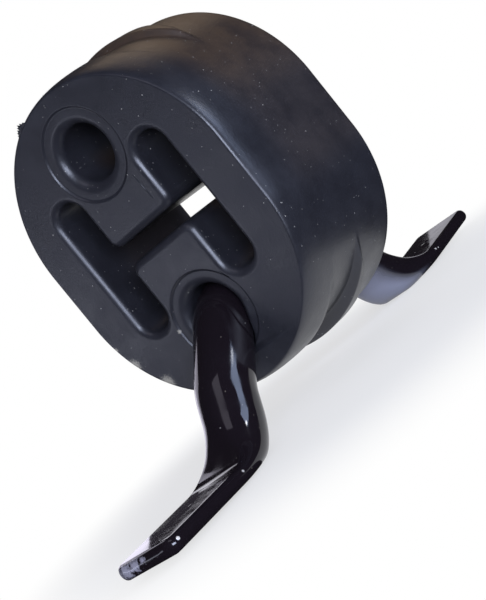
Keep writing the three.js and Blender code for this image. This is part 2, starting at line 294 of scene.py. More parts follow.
@dataclass(frozen=True)
class MouldedRubber:
    """Compression-moulded black rubber: satin, faintly mottled, with a thin coat of dust that is browner
    on the upper flanks, where warm light from above is painted in.

    Widths, heights and depths are in millimetres. A span goes from an area's border to where
    the area is full.
    """

    shade: str = "#1b1b1f"
    pale_shade: str = "#2c2c32"
    # brown of the dust on upward faces, which also holds painted warm light from above
    brown_dust_and_warm_light: str = "#46372a"
    dust: str = "#8d8a84"
    bare: str = "#a39d8e"
    roughness: float = 0.37
    ior: float = 1.6
    cloud_width: float = 8.0
    grain_width: float = 0.35
    grain_height: float = 0.05
    ripple_width: float = 0.9
    ripple_height: float = 0.08
    relief_strength: float = 0.35
    speck_cell: float = 1.1
    speck_radius: float = 0.09
    specks_missing: float = 0.8
    # where the brown tint with its painted warm light lies
    warm_tint_facing_up: Span = (-0.25, 0.5)
    warm_tint_facing_rear: Span = (0.8, 0.3)
    warm_tint_depth: Span = (-14.0, -2.0)
    nicks: tuple[Spot, ...] = (
        (-28.6, -20.4, 30.0, 1.7),
        (-23.8, -20.4, 22.3, 2.0),
        (-30.2, -20.2, 35.6, 0.7),
        (-11.0, -20.6, 30.2, 0.5),
    )

    def build(self) -> bpy.types.Material:
        """Builds the finish.

        Returns:
            The material.
        """
        material, tree = new_material("moulded_rubber")
        where = add_node(tree, "ShaderNodeTexCoord").outputs["Object"]
        # cloudy patches of wear and handling
        clouds = add_node(tree, "ShaderNodeTexNoise", inputs={
            "Vector": where, "Scale": 1 / (self.cloud_width * MM), "Detail": 5.0, "Roughness": 0.6})
        # the mould's grain, coarser than life so that it shows
        grain = add_node(tree, "ShaderNodeTexNoise", inputs={
            "Vector": where, "Scale": 1 / (self.grain_width * MM), "Detail": 3.0, "Roughness": 0.7})
        base = add_node(tree, "ShaderNodeMix", {"data_type": "RGBA"}, {
            "Factor": clouds.outputs["Fac"], 6: linear(self.shade), 7: linear(self.pale_shade)})
        # brown dust on the upper flanks, with painted warm light from above in its colour, and none of
        # it on the rear face
        place, facing = place_and_facing(tree, where)
        border, full = self.warm_tint_depth
        dust_and_warm_light_area = soft_area(tree, [
            (facing.outputs["Z"], *self.warm_tint_facing_up),
            (place.outputs["Y"], border * MM, full * MM),
            (facing.outputs["Y"], *self.warm_tint_facing_rear)])
        patchy = add_node(tree, "ShaderNodeMapRange", inputs={
            "Value": clouds.outputs["Fac"], "From Min": 0.35, "From Max": 0.65,
            "To Min": 0.45, "To Max": 1.0})
        with_painted_light = add_node(tree, "ShaderNodeMix", {"data_type": "RGBA"}, {
            "Factor": overlap(tree, dust_and_warm_light_area, patchy.outputs[0]),
            6: base.outputs[2], 7: linear(self.brown_dust_and_warm_light)})
        # fine specks of dust, and the nicks
        speck = add_specks(tree, where, self.speck_cell, self.speck_radius, 0, self.specks_missing)
        colour = add_node(tree, "ShaderNodeMix", {"data_type": "RGBA"}, {
            "Factor": speck, 6: with_painted_light.outputs[2], 7: linear(self.dust)})
        worn = add_spots(tree, where, grain.outputs["Fac"], colour.outputs[2], self.bare, self.nicks)
        rough = add_node(tree, "ShaderNodeMapRange", inputs={
            "Value": clouds.outputs["Fac"], "From Min": 0.3, "From Max": 0.7,
            "To Min": self.roughness - 0.06, "To Max": self.roughness + 0.08})
        # ripples of the mould's spark-eroded skin under the grain
        ripple = add_node(tree, "ShaderNodeTexNoise", inputs={
            "Vector": where, "Scale": 1 / (self.ripple_width * MM), "Detail": 2.0, "Roughness": 0.5})
        rippled = add_node(tree, "ShaderNodeBump", inputs={
            "Strength": self.relief_strength, "Distance": self.ripple_height * MM,
            "Height": ripple.outputs["Fac"]})
        bump = add_node(tree, "ShaderNodeBump", inputs={
            "Strength": self.relief_strength, "Distance": self.grain_height * MM,
            "Height": grain.outputs["Fac"], "Normal": rippled.outputs[0]})
        shader = add_node(tree, "ShaderNodeBsdfPrincipled", inputs={
            "Base Color": worn, "Roughness": rough.outputs[0], "IOR": self.ior,
            "Normal": bump.outputs[0]})
        add_node(tree, "ShaderNodeOutputMaterial", inputs={"Surface": shader.outputs[0]})
        return material


@dataclass(frozen=True)
class BlackEnamel:
    """Dipped and stoved black enamel over steel: glossy, with faint orange peel and stray grit.

    Widths, heights and depths are in millimetres. A span goes from an area's border to where
    the area is full.
    """

    shade: str = "#171216"
    grit: str = "#6e665c"
    # pale patch under the rear arm's heel: a painted sheen of light from below
    underside_sheen: str = "#7f808c"
    # pale dots on the feet: painted glints where small nibs in the enamel catch the light
    painted_glint: str = "#e6e0d6"
    # pale grey of the front foot's worn tip, with a painted sheen in it
    bare: str = "#9c99a4"
    roughness: float = 0.1
    sheen_roughness: float = 0.5
    ior: float = 1.5
    peel_width: float = 3.5
    peel_height: float = 0.03
    peel_strength: float = 0.3
    fray_width: float = 0.7
    speck_cell: float = 1.6
    speck_radius: float = 0.08
    specks_missing: float = 0.85
    # where the painted sheen under the rear arm's heel lies
    sheen_facing_down: Span = (-0.1, -0.6)
    sheen_from: Span = (16.0, 24.0)
    sheen_until: Span = (50.0, 36.0)
    # places and radii of the painted glints
    painted_glints: tuple[Spot, ...] = (
        (-0.3, -61.7, 4.2, 0.45),
        (9.2, -77.9, 3.8, 0.28),
        (9.2, -53.8, 2.9, 0.5),
        (0.5, 65.0, 4.3, 0.5),
        (9.2, 54.7, 2.9, 0.35),
        (9.2, 56.0, 2.6, 0.3),
    )
    # worn spots at the front foot's tip, whose pale colour also paints a sheen
    scuffs_and_sheen: tuple[Spot, ...] = (
        (-8.0, -79.2, 3.4, 1.5),
        (-5.6, -79.9, 3.6, 1.8),
        (-2.6, -80.2, 3.9, 1.5),
        (0.2, -80.2, 4.2, 0.9),
    )

    def build(self) -> bpy.types.Material:
        """Builds the finish.

        Returns:
            The material.
        """
        material, tree = new_material("black_enamel")
        where = add_node(tree, "ShaderNodeTexCoord").outputs["Object"]
        # orange peel: long waves, only microns high
        peel = add_node(tree, "ShaderNodeTexNoise", inputs={
            "Vector": where, "Scale": 1 / (self.peel_width * MM), "Detail": 0.0, "Roughness": 0.5})
        fray = add_node(tree, "ShaderNodeTexNoise", inputs={
            "Vector": where, "Scale": 1 / (self.fray_width * MM), "Detail": 3.0, "Roughness": 0.6})
        # specks of grit, the worn tip of the front foot with a painted sheen over it, and painted glints
        # on the feet where small nibs of enamel catch the light
        speck = add_specks(tree, where, self.speck_cell, self.speck_radius, 1, self.specks_missing)
        colour = add_node(tree, "ShaderNodeMix", {"data_type": "RGBA"}, {
            "Factor": speck, 6: linear(self.shade), 7: linear(self.grit)})
        with_scuffs_and_sheen = add_spots(
            tree, where, fray.outputs["Fac"], colour.outputs[2], self.bare, self.scuffs_and_sheen)
        with_glints = add_spots(tree, where, peel.outputs["Fac"], with_scuffs_and_sheen, self.painted_glint, self.painted_glints)
        # painted sheen under the rear arm's heel: a pale, duller patch that stands in for light
        # reflected from below
        place, facing = place_and_facing(tree, where)
        limits = [
            (place.outputs["Y"], border * MM, full * MM)
            for border, full in (self.sheen_from, self.sheen_until)
        ]
        underside_sheen_mask = soft_area(tree, [*limits, (facing.outputs["Z"], *self.sheen_facing_down)])
        with_painted_light = add_node(tree, "ShaderNodeMix", {"data_type": "RGBA"}, {
            "Factor": underside_sheen_mask, 6: with_glints, 7: linear(self.underside_sheen)})
        rough = add_node(tree, "ShaderNodeMapRange", inputs={
            "Value": peel.outputs["Fac"], "From Min": 0.3, "From Max": 0.7,
            "To Min": self.roughness - 0.04, "To Max": self.roughness + 0.06})
        dulled = add_node(tree, "ShaderNodeMix", {"data_type": "FLOAT"}, {
            "Factor": underside_sheen_mask, 2: rough.outputs[0], 3: self.sheen_roughness})
        bump = add_node(tree, "ShaderNodeBump", inputs={
            "Strength": self.peel_strength, "Distance": self.peel_height * MM,
            "Height": peel.outputs["Fac"]})
        shader = add_node(tree, "ShaderNodeBsdfPrincipled", inputs={
            "Base Color": with_painted_light.outputs[2], "Roughness": dulled.outputs[0], "IOR": self.ior,
            "Normal": bump.outputs[0]})
        add_node(tree, "ShaderNodeOutputMaterial", inputs={"Surface": shader.outputs[0]})
        return material


@dataclass(frozen=True)
class RoadDust:
    """Pale mineral grains that cling to the rubber and sit in the enamel: dry and matt."""

    shade: str = "#a8a59c"
    dark_shade: str = "#6c6a66"
    tone_width: float = 4.0
    roughness: float = 0.9

    def build(self) -> bpy.types.Material:
        """Builds the finish.

        Returns:
            The material.
        """
        material, tree = new_material("road_dust")
        where = add_node(tree, "ShaderNodeTexCoord").outputs["Object"]
        tone = add_node(tree, "ShaderNodeTexNoise", inputs={
            "Vector": where, "Scale": 1 / (self.tone_width * MM)})
        colour = add_node(tree, "ShaderNodeMix", {"data_type": "RGBA"}, {
            "Factor": tone.outputs["Fac"], 6: linear(self.dark_shade), 7: linear(self.shade)})
        shader = add_node(tree, "ShaderNodeBsdfPrincipled", inputs={
            "Base Color": colour.outputs[2], "Roughness": self.roughness})
        add_node(tree, "ShaderNodeOutputMaterial", inputs={"Surface": shader.outputs[0]})
        return material


@dataclass
class ClosedBody:
    """Vertices and faces of one closed body, gathered loop by loop, in millimetres."""

    points: list[Vector] = field(default_factory=list)
    faces: list[tuple[int, ...]] = field(default_factory=list)

    def add_loop(self, points: Iterable[Vector]) -> Loop:
        """Adds a ring of points.

        Args:
            points: the points in order.

        Returns:
            Their numbers.
        """
        start = len(self.points)
        self.points.extend(points)
        return list(range(start, len(self.points)))

    def bridge(self, first: Loop, second: Loop) -> None:
        """Joins two loops with quads.

        Args:
            first: one loop.
            second: the other, with equally many points.
        """
        count = len(first)
        for i in range(count):
            j = (i + 1) % count
            self.faces.append((first[i], first[j], second[j], second[i]))

    def sweep(self, loops: Sequence[Loop]) -> None:
        """Joins each loop to the next."""
        for first, second in zip(loops, loops[1:]):
            self.bridge(first, second)

    def sweep_bar(self, loops: Sequence[Loop]) -> None:
        """Joins each loop to the next and closes both ends."""
        self.sweep(loops)
        self.faces.extend([tuple(loops[0]), tuple(loops[-1])])

    def fill(self, outer: Loop, holes: Sequence[Loop]) -> None:
        """Fills a flat face that looks along Y.

        Args:
            outer: the face's outer loop.
            holes: the loops of its holes.
        """
        loops = [outer, *holes]
        numbers = [number for loop in loops for number in loop]
        shapes = [
            [Vector((self.points[number].x, self.points[number].z, 0)) for number in loop]
            for loop in loops
        ]
        self.faces.extend(tuple(numbers[i] for i in triangle) for triangle in tessellate_polygon(shapes))

    def build(self, name: str, material: bpy.types.Material) -> bpy.types.Object:
        """Makes the mesh object, in metres, with its faces outwards and smooth.

        Args:
            name: the object's name.
            material: its material.

        Returns:
            The object.
        """
        mesh = bpy.data.meshes.new(name)
        mesh.from_pydata([point * MM for point in self.points], [], self.faces)
        shell = bmesh.new()
        shell.from_mesh(mesh)
        bmesh.ops.recalc_face_normals(shell, faces=shell.faces)
        for face in shell.faces:
            face.smooth = True
        shell.to_mesh(mesh)
        shell.free()
        mesh.materials.append(material)
        return add_object(name, mesh)


def circle_outline(radius: float, height: float, count: int) -> Outline:
    """Returns a circle about the block's upright middle line."""
    turns = (math.tau * i / count for i in range(count))
    return [(radius * math.cos(turn), height + radius * math.sin(turn)) for turn in turns]


def place_at_depth(outline: Outline, depth: float) -> list[Vector]:
    """Returns the outline's points at a depth along Y."""
    return [Vector((x, depth, z)) for x, z in outline]


@dataclass(frozen=True)
class WallLine:
    """One wall of the pressed tube through its heel: a straight, an arc and a straight."""

    start: Vector
    bend_start: Vector
    centre: Vector
    radius: float
    arc_start: float
    arc_end: float
    end: Vector

    def on_arc(self, turn: float) -> Vector:
        """Returns the arc's point at an angle in radians."""
        return self.centre + self.radius * Vector((math.cos(turn), math.sin(turn)))

    def point(self, share: float) -> Vector:
        """Finds a point on the line.

        Args:
            share: how far along the line's length it lies, from 0 to 1.

        Returns:
            The point.
        """
        arc = self.radius * (self.arc_end - self.arc_start)
        first = (self.bend_start - self.start).length
        arc_stop = self.on_arc(self.arc_end)
        last = (self.end - arc_stop).length
        along = share * (first + arc + last)
        if along <= first:
            return self.start.lerp(self.bend_start, along / first)
        if along <= first + arc:
            return self.on_arc(self.arc_start + (along - first) / self.radius)
        return arc_stop.lerp(self.end, (along - first - arc) / last)


@dataclass(frozen=True)
class Station:
    """A place along an arm: a point on the tube's upper wall line and one on its lower."""

    upper: Vector
    lower: Vector
    from_tip: float = math.inf


def run_along(fall: float) -> Vector:
    """Returns the direction, outwards and up, of a run that falls by some degrees."""
    return Vector((math.cos(math.radians(fall)), -math.sin(math.radians(fall))))


def square_to(fall: float) -> Vector:
    """Returns the upward direction square to a run that falls by some degrees."""
    return Vector((math.sin(math.radians(fall)), math.cos(math.radians(fall))))


def crossing(point: Vector, fall: float, other_point: Vector, other_fall: float) -> Vector:
    """Finds where two straight runs meet.

    Args:
        point: a point on the first run.
        fall: by how many degrees that run falls.
        other_point: a point on the second run.
        other_fall: by how many degrees that one falls.

    Returns:
        The point where they cross.
    """
    across = square_to(other_fall)
    reach = (other_point - point).dot(across) / run_along(fall).dot(across)
    return point + reach * run_along(fall)


@dataclass
class TubeBracket:
    """The bracket: one steel tube through the lower eye, both arms bent down and pressed into feet."""

    tube_diameter: float = 13.5
    tube_wall: float = 1.6
    tube_height: float = 28.5
    arm_slope: float = 39.5
    arm_reach: float = 16.7
    arm_bend_radius: float = 16.0
    ankle_slope: float = 57.0
    ankle_reach: float = 33.3
    ankle_bend_radius: float = 16.0
    heel_outer_radius: float = 14.0
    heel_inner_radius: float = 10.0
    foot_rise: float = 2.5
    foot_width: float = 18.6
    foot_reach: float = 80.3
    foot_corner_radius: float = 2.8
    foot_seam: float = 0.2
    foot_run_out: float = 1.2
    tip_edge_radius: float = 1.7
    seam_depth: float = 0.15
    section_segments: int = 72
    bend_segments: int = 20
    ankle_segments: int = 8
    heel_segments: int = 56
    corner_segments: int = 14

    @property
    def tube_radius(self) -> float:
        """The round tube's outer radius."""
        return self.tube_diameter / 2

    @property
    def foot_thickness(self) -> float:
        """Two pressed walls and the seam between them."""
        return 2 * self.tube_wall + self.foot_seam

    def bend_stations(
        self, corner: Vector, before: float, after: float, radius: float, segments: int
    ) -> list[Station]:
        """Lays the stations round a bend at which the round tube falls more steeply.

        Args:
            corner: where the tube's straight middle lines meet.
            before: the fall before the bend, in degrees.
            after: the fall after it.
            radius: the bend's radius, at the tube's middle.
            segments: number of steps round the bend.

        Returns:
            The stations in order.
        """
        start = corner - radius * math.tan(math.radians(after - before) / 2) * run_along(before)
        centre = start - radius * square_to(before)
        stations = []
        for i in range(segments + 1):
            up = square_to(blend(before, after, i / segments))
            upper = centre + (radius + self.tube_radius) * up
            lower = centre + (radius - self.tube_radius) * up
            stations.append(Station(upper, lower))
        return stations

    def arm_bend(self) -> list[Station]:
        """Returns the stations of the bend where an arm leaves the block."""
        corner = Vector((self.arm_reach, self.tube_height))
        return self.bend_stations(corner, 0, self.arm_slope, self.arm_bend_radius, self.bend_segments)

    def heel_wall(self, start: Vector, foot_point: Vector, radius: float, end: Vector) -> WallLine:
        """Draws one wall line: down the arm, round the heel and out along the foot.

        Args:
            start: the line's first point, on the arm.
            foot_point: a point on the foot's side of it.
            radius: the wall's radius round the heel.
            end: the line's last point, on the foot.

        Returns:
            The line.
        """
        corner = crossing(start, self.ankle_slope, foot_point, -self.foot_rise)
        tangent = radius * math.tan(math.radians(self.ankle_slope + self.foot_rise) / 2)
        bend_start = corner - tangent * run_along(self.ankle_slope)
        centre = bend_start + radius * square_to(self.ankle_slope)
        down = -math.pi / 2
        arc_start = down - math.radians(self.ankle_slope)
        arc_end = down + math.radians(self.foot_rise)
        return WallLine(start, bend_start, centre, radius, arc_start, arc_end, end)

    def heel_stations(self, ankle: Vector) -> list[Station]:
        """Lays the stations round the heel, where the tube is pressed flat.

        Args:
            ankle: the corner of the tube's middle line above the heel.

        Returns:
            The stations in order.
        """
        slope, rise = self.ankle_slope, self.foot_rise
        lower_wall = ankle - self.tube_radius * square_to(slope)
        drop = lower_wall.y + self.heel_outer_radius * (math.cos(math.radians(slope)) - 1)
        lower_start = lower_wall + drop / math.sin(math.radians(slope)) * run_along(slope)
        upper_start = lower_start + self.tube_diameter * square_to(slope)
        centre = lower_start + self.heel_outer_radius * square_to(slope)
        underside = centre - self.heel_outer_radius * square_to(-rise)
        top = underside + self.foot_thickness * square_to(-rise)
        inner_corner = crossing(upper_start, slope, top, -rise)
        inner_tangent = self.heel_inner_radius * math.tan(math.radians(slope + rise) / 2)
        upper_end = inner_corner + self.foot_run_out * inner_tangent * run_along(-rise)
        lower_end = upper_end - self.foot_thickness * square_to(-rise)
        upper = self.heel_wall(upper_start, top, self.heel_inner_radius, upper_end)
        lower = self.heel_wall(lower_start, underside, self.heel_outer_radius, lower_end)
        shares = [i / self.heel_segments for i in range(self.heel_segments + 1)]
        return [Station(upper.point(share), lower.point(share)) for share in shares]

    def foot_stations(self, heel: Station) -> list[Station]:
        """Lays the stations along the foot and round the corners of its tip.

        Args:
            heel: the last station of the heel.

        Returns:
            The stations in order.
        """
        outwards = run_along(-self.foot_rise)
        length = (self.foot_reach - (heel.upper.x + heel.lower.x) / 2) / outwards.x
        turns = [i / self.corner_segments for i in range(self.corner_segments + 1)]
        from_tips = [self.foot_corner_radius * (1 - math.sin(math.pi / 2 * turn)) for turn in turns]
        straight = length - self.foot_corner_radius
        stations = [
            Station(heel.upper + straight * share * outwards, heel.lower + straight * share * outwards)
            for share in (0.25, 0.5, 0.75)
        ]
        for from_tip in from_tips:
            reach = (length - from_tip) * outwards
            stations.append(Station(heel.upper + reach, heel.lower + reach, from_tip))
        return stations

    def arm_stations(self) -> list[Station]:
        """Lays all stations along one arm, from the block to the tip of the foot.

        Returns:
            The stations in order.
        """
        corner = Vector((self.arm_reach, self.tube_height))
        ankle = crossing(corner, self.arm_slope, Vector((self.ankle_reach, 0)), 90)
        heel = self.heel_stations(ankle)
        ankle_bend = self.bend_stations(
            ankle, self.arm_slope, self.ankle_slope, self.ankle_bend_radius, self.ankle_segments)
        return [*self.arm_bend(), *ankle_bend, *heel, *self.foot_stations(heel[-1])]

    def section(self, station: Station, inset: float = 0.0) -> Outline:
        """Draws the tube's section at a station: two half circles and the flats between them.

        Args:
            station: the place along the arm.
            inset: how far the section is drawn in.

        Returns:
            The section, with its width along X.
        """
        half_thickness = (station.upper - station.lower).length / 2
        pressed = (self.tube_radius - half_thickness) / (self.tube_radius - self.foot_thickness / 2)
        half_width = blend(self.tube_radius, self.foot_width / 2, pressed)
        if station.from_tip < math.inf:
            half_width -= rounding_loss(self.foot_corner_radius, station.from_tip)
            inset += rounding_loss(self.tip_edge_radius, station.from_tip)
        thickness = max(half_thickness - inset, self.foot_seam / 2)
        side = max(half_width - inset - thickness, 0.0)
        half = self.section_segments // 2
        turns = [math.pi * (i + 0.5) / half - math.pi / 2 for i in range(half)]
        return [
            (sign * (side + thickness * math.cos(turn)), sign * thickness * math.sin(turn))
            for sign in (1, -1)
            for turn in turns
        ]

    def ring(self, station: Station, outline: Outline, arm: Face) -> list[Vector]:
        """Places a section between the two wall lines.

        Args:
            station: the place along the arm.
            outline: the section.
            arm: the arm it lies on.

        Returns:
            The section's points in space.
        """
        middle = (station.upper + station.lower) / 2
        up = (station.upper - station.lower).normalized()
        flat = [(x, middle + y * up) for x, y in outline]
        return [Vector((x, arm.value * point.x, point.y)) for x, point in flat]

    def close_tip(self, body: ClosedBody, station: Station, loop: Loop, arm: Face) -> None:
        """Closes a foot's tip, leaving the thin seam between its pressed walls.

        Args:
            body: the bracket so far.
            station: the last station.
            loop: the bracket's last loop there.
            arm: the arm that ends there.
        """
        seam = self.section(station, inset=self.foot_thickness / 2 - self.foot_seam / 2)
        inwards = self.seam_depth * run_along(-self.foot_rise)
        deeper = Station(station.upper - inwards, station.lower - inwards)
        mouth = body.add_loop(self.ring(station, seam, arm))
        floor = body.add_loop(self.ring(deeper, seam, arm))
        body.sweep([loop, mouth, floor])
        body.fill(floor, [])

    def build(self, finish: bpy.types.Material) -> bpy.types.Object:
        """Builds the bracket and lets it stand for its CAD node.

        Args:
            finish: the bracket's material.

        Returns:
            The bracket's object.
        """
        stations = self.arm_stations()
        body = ClosedBody()
        front = [body.add_loop(self.ring(s, self.section(s), Face.FRONT)) for s in reversed(stations)]
        rear = [body.add_loop(self.ring(s, self.section(s), Face.REAR)) for s in stations]
        body.sweep([*front, *rear])
        self.close_tip(body, stations[-1], front[0], Face.FRONT)
        self.close_tip(body, stations[-1], rear[-1], Face.REAR)
        piece = body.build("enamelled_tube_bracket", finish)
        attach(piece, "root")
        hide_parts("tube_bracket")
        return piece


@dataclass
class RubberBlock:
    """The moulded block: round ends, an H-shaped slot, a free eye and an eye that holds the tube."""

    bracket: TubeBracket
    block_depth: float = 41.2
    end_radius: float = 33.0
    end_centre: float = 7.7
    mould_draft: float = 0.7
    rear_edge_radius: float = 1.2
    front_taper: float = 1.4
    front_taper_depth: float = 5.0
    rim_depth: float = 11.5
    groove_width: float = 11.5
    upper_groove_depth: float = 0.8
    lower_groove_depth: float = 2.3
    rib_rise: float = 1.2
    rib_width: float = 6.5
    rib_tip_angle: float = 33.0
    rib_rise_angle: float = 16.0
    rib_widening_angle: float = 40.0
    rib_edge_blend: float = 1.0
    rib_set_back: float = 0.5
    rib_onset_depths: tuple[float, ...] = (-0.3, -0.1, 0.1, 0.3, 0.5, 0.7, 0.9)
    rib_ring_gap: float = 0.45
    eye_spacing: float = 45.0
    eye_lift: float = 1.2
    free_eye_radius: float = 6.7
    tube_clearance: float = 0.3
    eye_lip: float = 2.4
    eye_ring_radius: float = 11.1
    eye_ring_depth: float = 0.4
    tongue_half_width: float = 11.0
    slot_half_width: float = 19.8
    slot_half_height: float = 17.9
    slot_gap: float = 4.5
    slot_lift: float = 0.9
    slot_lip: float = 1.8
    leg_flat: float = 0.2
    tongue_corner_radius: float = 2.8
    least_corner_radius: float = 0.2
    step_width: float = 0.9
    edge_margin: float = 0.25
    ring_gap: float = 0.2
    rear_ring_depths: Span = (5.5, 3.0)
    axis_run_on: float = 1.5
    cap_segments: int = 120
    flank_segments: int = 6
    taper_segments: int = 16
    rib_segments: int = 16
    eye_segments: int = 96
    corner_segments: int = 14
    lip_segments: int = 9

    def __post_init__(self) -> None:
        """Works out the heights and faces that the other sizes refer to, and the tube's middle line."""
        self.tube_eye_height = self.bracket.tube_height
        self.free_eye_height = self.tube_eye_height + self.eye_spacing
        self.block_middle = self.tube_eye_height + self.eye_spacing / 2 - self.eye_lift
        self.slot_middle = self.block_middle + self.slot_lift
        self.tube_eye_radius = self.bracket.tube_radius + self.tube_clearance
        self.front_face = -self.block_depth / 2
        self.rear_face = self.block_depth / 2
        self.groove_start = self.front_face + self.rim_depth
        self.rib_start = self.groove_start + self.groove_width
        bend = self.bracket.arm_bend()
        straight = [
            Vector((share * bend[0].upper.x, self.bracket.tube_height))
            for share in (0, 0.25, 0.5, 0.75)
        ]
        run_on = self.axis_run_on * self.bracket.tube_diameter * run_along(self.bracket.arm_slope)
        bent = [(station.upper + station.lower) / 2 for station in bend]
        self.tube_axis = [*straight, *bent, bent[-1] + run_on]

    def body_radius(self, depth: float, angle: float) -> float:
        """Works out a round end's radius.

        Args:
            depth: the depth along Y.
            angle: the angle round the end from one flank, in degrees.

        Returns:
            The radius there.
        """
        flank = self.end_radius + self.mould_draft * depth / self.rear_face
        towards_apex = math.sin(math.radians(angle)) ** 2
        taper_end = blend(self.front_taper_depth, self.rim_depth, towards_apex)
        share = min(max((depth - self.front_face) / taper_end, 0.0), 1.0)
        return flank - self.front_taper * (1 - math.sqrt(1 - (1 - share) ** 2))

    def end_relief(self, depth: float, angle: float, end: End) -> float:
        """Works out the relief of a round end.

        Args:
            depth: the depth along Y.
            angle: the angle round the end from one flank, in degrees.
            end: the end.

        Returns:
            How far the surface lies out for the rib, or in for the groove as a negative value.
        """
        groove_depth = self.upper_groove_depth if end is End.UPPER else self.lower_groove_depth
        from_tip = 90 - abs(90 - angle) - self.rib_tip_angle
        groove_share = easing(0, 90 - self.rib_tip_angle, from_tip)
        rib_share = easing(0, self.rib_rise_angle, from_tip)
        onset_start = self.rib_start + self.rib_onset_depths[0]
        onset = easing(onset_start, self.rib_start + self.step_width, depth)
        in_groove = easing(self.groove_start, self.groove_start + self.step_width, depth) * (1 - onset)
        widening = easing(0, self.rib_widening_angle, from_tip)
        rib_end = self.rib_start + self.rib_set_back + self.rib_width * widening
        past_rib = easing(rib_end - self.rib_edge_blend, rib_end + self.rib_edge_blend, depth)
        on_rib = onset * (1 - past_rib)
        return self.rib_rise * rib_share * on_rib - groove_depth * groove_share * in_groove

    def block_outline(self, depth: float, inset: float = 0.0) -> Outline:
        """Draws the block's outline.

        Args:
            depth: the depth along Y.
            inset: how far the outline is drawn in.

        Returns:
            The outline.
        """
        edge_loss = inset + rounding_loss(self.rear_edge_radius, self.rear_face - depth)
        caps: list[Outline] = []
        for end in End:
            cap = []
            for i in range(self.cap_segments + 1):
                angle = 180 * i / self.cap_segments
                radius = self.body_radius(depth, angle) + self.end_relief(depth, angle, end) - edge_loss
                turn = math.radians(angle)
                height = self.end_centre + radius * math.sin(turn)
                cap.append((end.value * radius * math.cos(turn), self.block_middle + end.value * height))
            caps.append(cap)
        outline: Outline = []
        for cap, following in ((caps[0], caps[1]), (caps[1], caps[0])):
            outline.extend(cap)
            (x0, z0), (x1, z1) = cap[-1], following[0]
            shares = (i / self.flank_segments for i in range(1, self.flank_segments))
            outline.extend((blend(x0, x1, share), blend(z0, z1, share)) for share in shares)
        return outline

    def depth_stations(self) -> list[float]:
        """Chooses where the outer wall gets a ring of points, closest where it bends most.

        Returns:
            The depths along Y, from the front face to the rear face.
        """
        shares = [(i / self.taper_segments) ** 2 for i in range(self.taper_segments)]
        taper = [self.front_face + share * (self.rim_depth - self.ring_gap) for share in shares]
        groove = [self.groove_start + share * self.step_width for share in (0, 0.25, 0.5, 0.75, 1)]
        floor = [self.groove_start + share * self.groove_width for share in (0.25, 0.5, 0.75, 0.9)]
        onset = [self.rib_start + depth for depth in self.rib_onset_depths]
        rib_steps = [
            self.rib_onset_depths[-1] + self.rib_ring_gap * i for i in range(1, self.rib_segments + 1)
        ]
        rib = [self.rib_start + depth for depth in rib_steps]
        rear = [self.rear_face - depth for depth in self.rear_ring_depths]
        rear_edge = [
            self.rear_face - self.rear_edge_radius * share for share in (1, 0.7, 0.45, 0.25, 0.1, 0)
        ]
        return [*taper, *groove, *floor, *onset, *rib, *rear, *rear_edge]

    def rounded_outline(self, corners: Sequence[tuple[float, float, float]]) -> Outline:
        """Rounds each corner of a polygon.

        Args:
            corners: each corner's place and radius.

        Returns:
            The outline's points.
        """
        points: Outline = []
        for i, (x, z, radius) in enumerate(corners):
            at = Vector((x, z))
            before = (Vector(corners[i - 1][:2]) - at).normalized()
            after = (Vector(corners[(i + 1) % len(corners)][:2]) - at).normalized()
            centre = at + radius * (before + after)
            for k in range(self.corner_segments + 1):
                turn = math.pi / 2 * k / self.corner_segments
                point = centre - radius * (math.cos(turn) * after + math.sin(turn) * before)
                points.append((point.x, point.y))
        return points

    def slot_outline(self, grow: float) -> Outline:
        """Draws the H slot: two upright legs joined by the gap between the tongues.

        Args:
            grow: how far the outline is moved out from the slot's walls.

        Returns:
            The outline.
        """
        inner = self.tongue_half_width - grow
        outer = self.slot_half_width + grow
        top = self.slot_half_height + grow
        gap = self.slot_gap / 2 + grow
        leg_radius = (self.slot_half_width - self.tongue_half_width) / 2 - self.leg_flat + grow
        tongue_radius = max(self.tongue_corner_radius - grow, self.least_corner_radius)
        first_half = [
            (inner, gap, tongue_radius), (-inner, gap, tongue_radius), (-inner, top, leg_radius),
            (-outer, top, leg_radius), (-outer, -top, leg_radius), (-inner, -top, leg_radius),
        ]
        corners = first_half + [(-x, -z, radius) for x, z, radius in first_half]
        return self.rounded_outline([(x, self.slot_middle + z, radius) for x, z, radius in corners])

    def clear_of_tube(self, point: Vector) -> Vector:
        """Presses a point of the rubber out of the bent tube's way.

        Args:
            point: the point.

        Returns:
            The point, or the nearest place that clears the tube.
        """
        reach = Vector((abs(point.y), point.z))
        nearest, gap = None, math.inf
        for start, end in zip(self.tube_axis, self.tube_axis[1:]):
            run = end - start
            share = min(max((reach - start).dot(run) / run.length_squared, 0.0), 1.0)
            spot = start + share * run
            if (reach - spot).length < gap:
                nearest, gap = spot, (reach - spot).length
        side = math.copysign(1, point.y)
        axis_point = Vector((0, side * nearest.x, nearest.y))
        away = point - axis_point
        needed = self.bracket.tube_radius + self.tube_clearance / 2
        if away.length >= needed or away.length == 0:
            return point
        return axis_point + needed * away.normalized()

    def lip_steps(self, lip: float) -> list[tuple[float, float]]:
        """Steps round the lip of an opening, from the face inwards.

        Args:
            lip: the lip's radius.

        Returns:
            The depth into the face and the growth of the opening, for each step.
        """
        turns = (math.pi / 2 * i / self.lip_segments for i in range(self.lip_segments + 1))
        return [(lip * (1 - math.cos(turn)), lip * (1 - math.sin(turn))) for turn in turns]

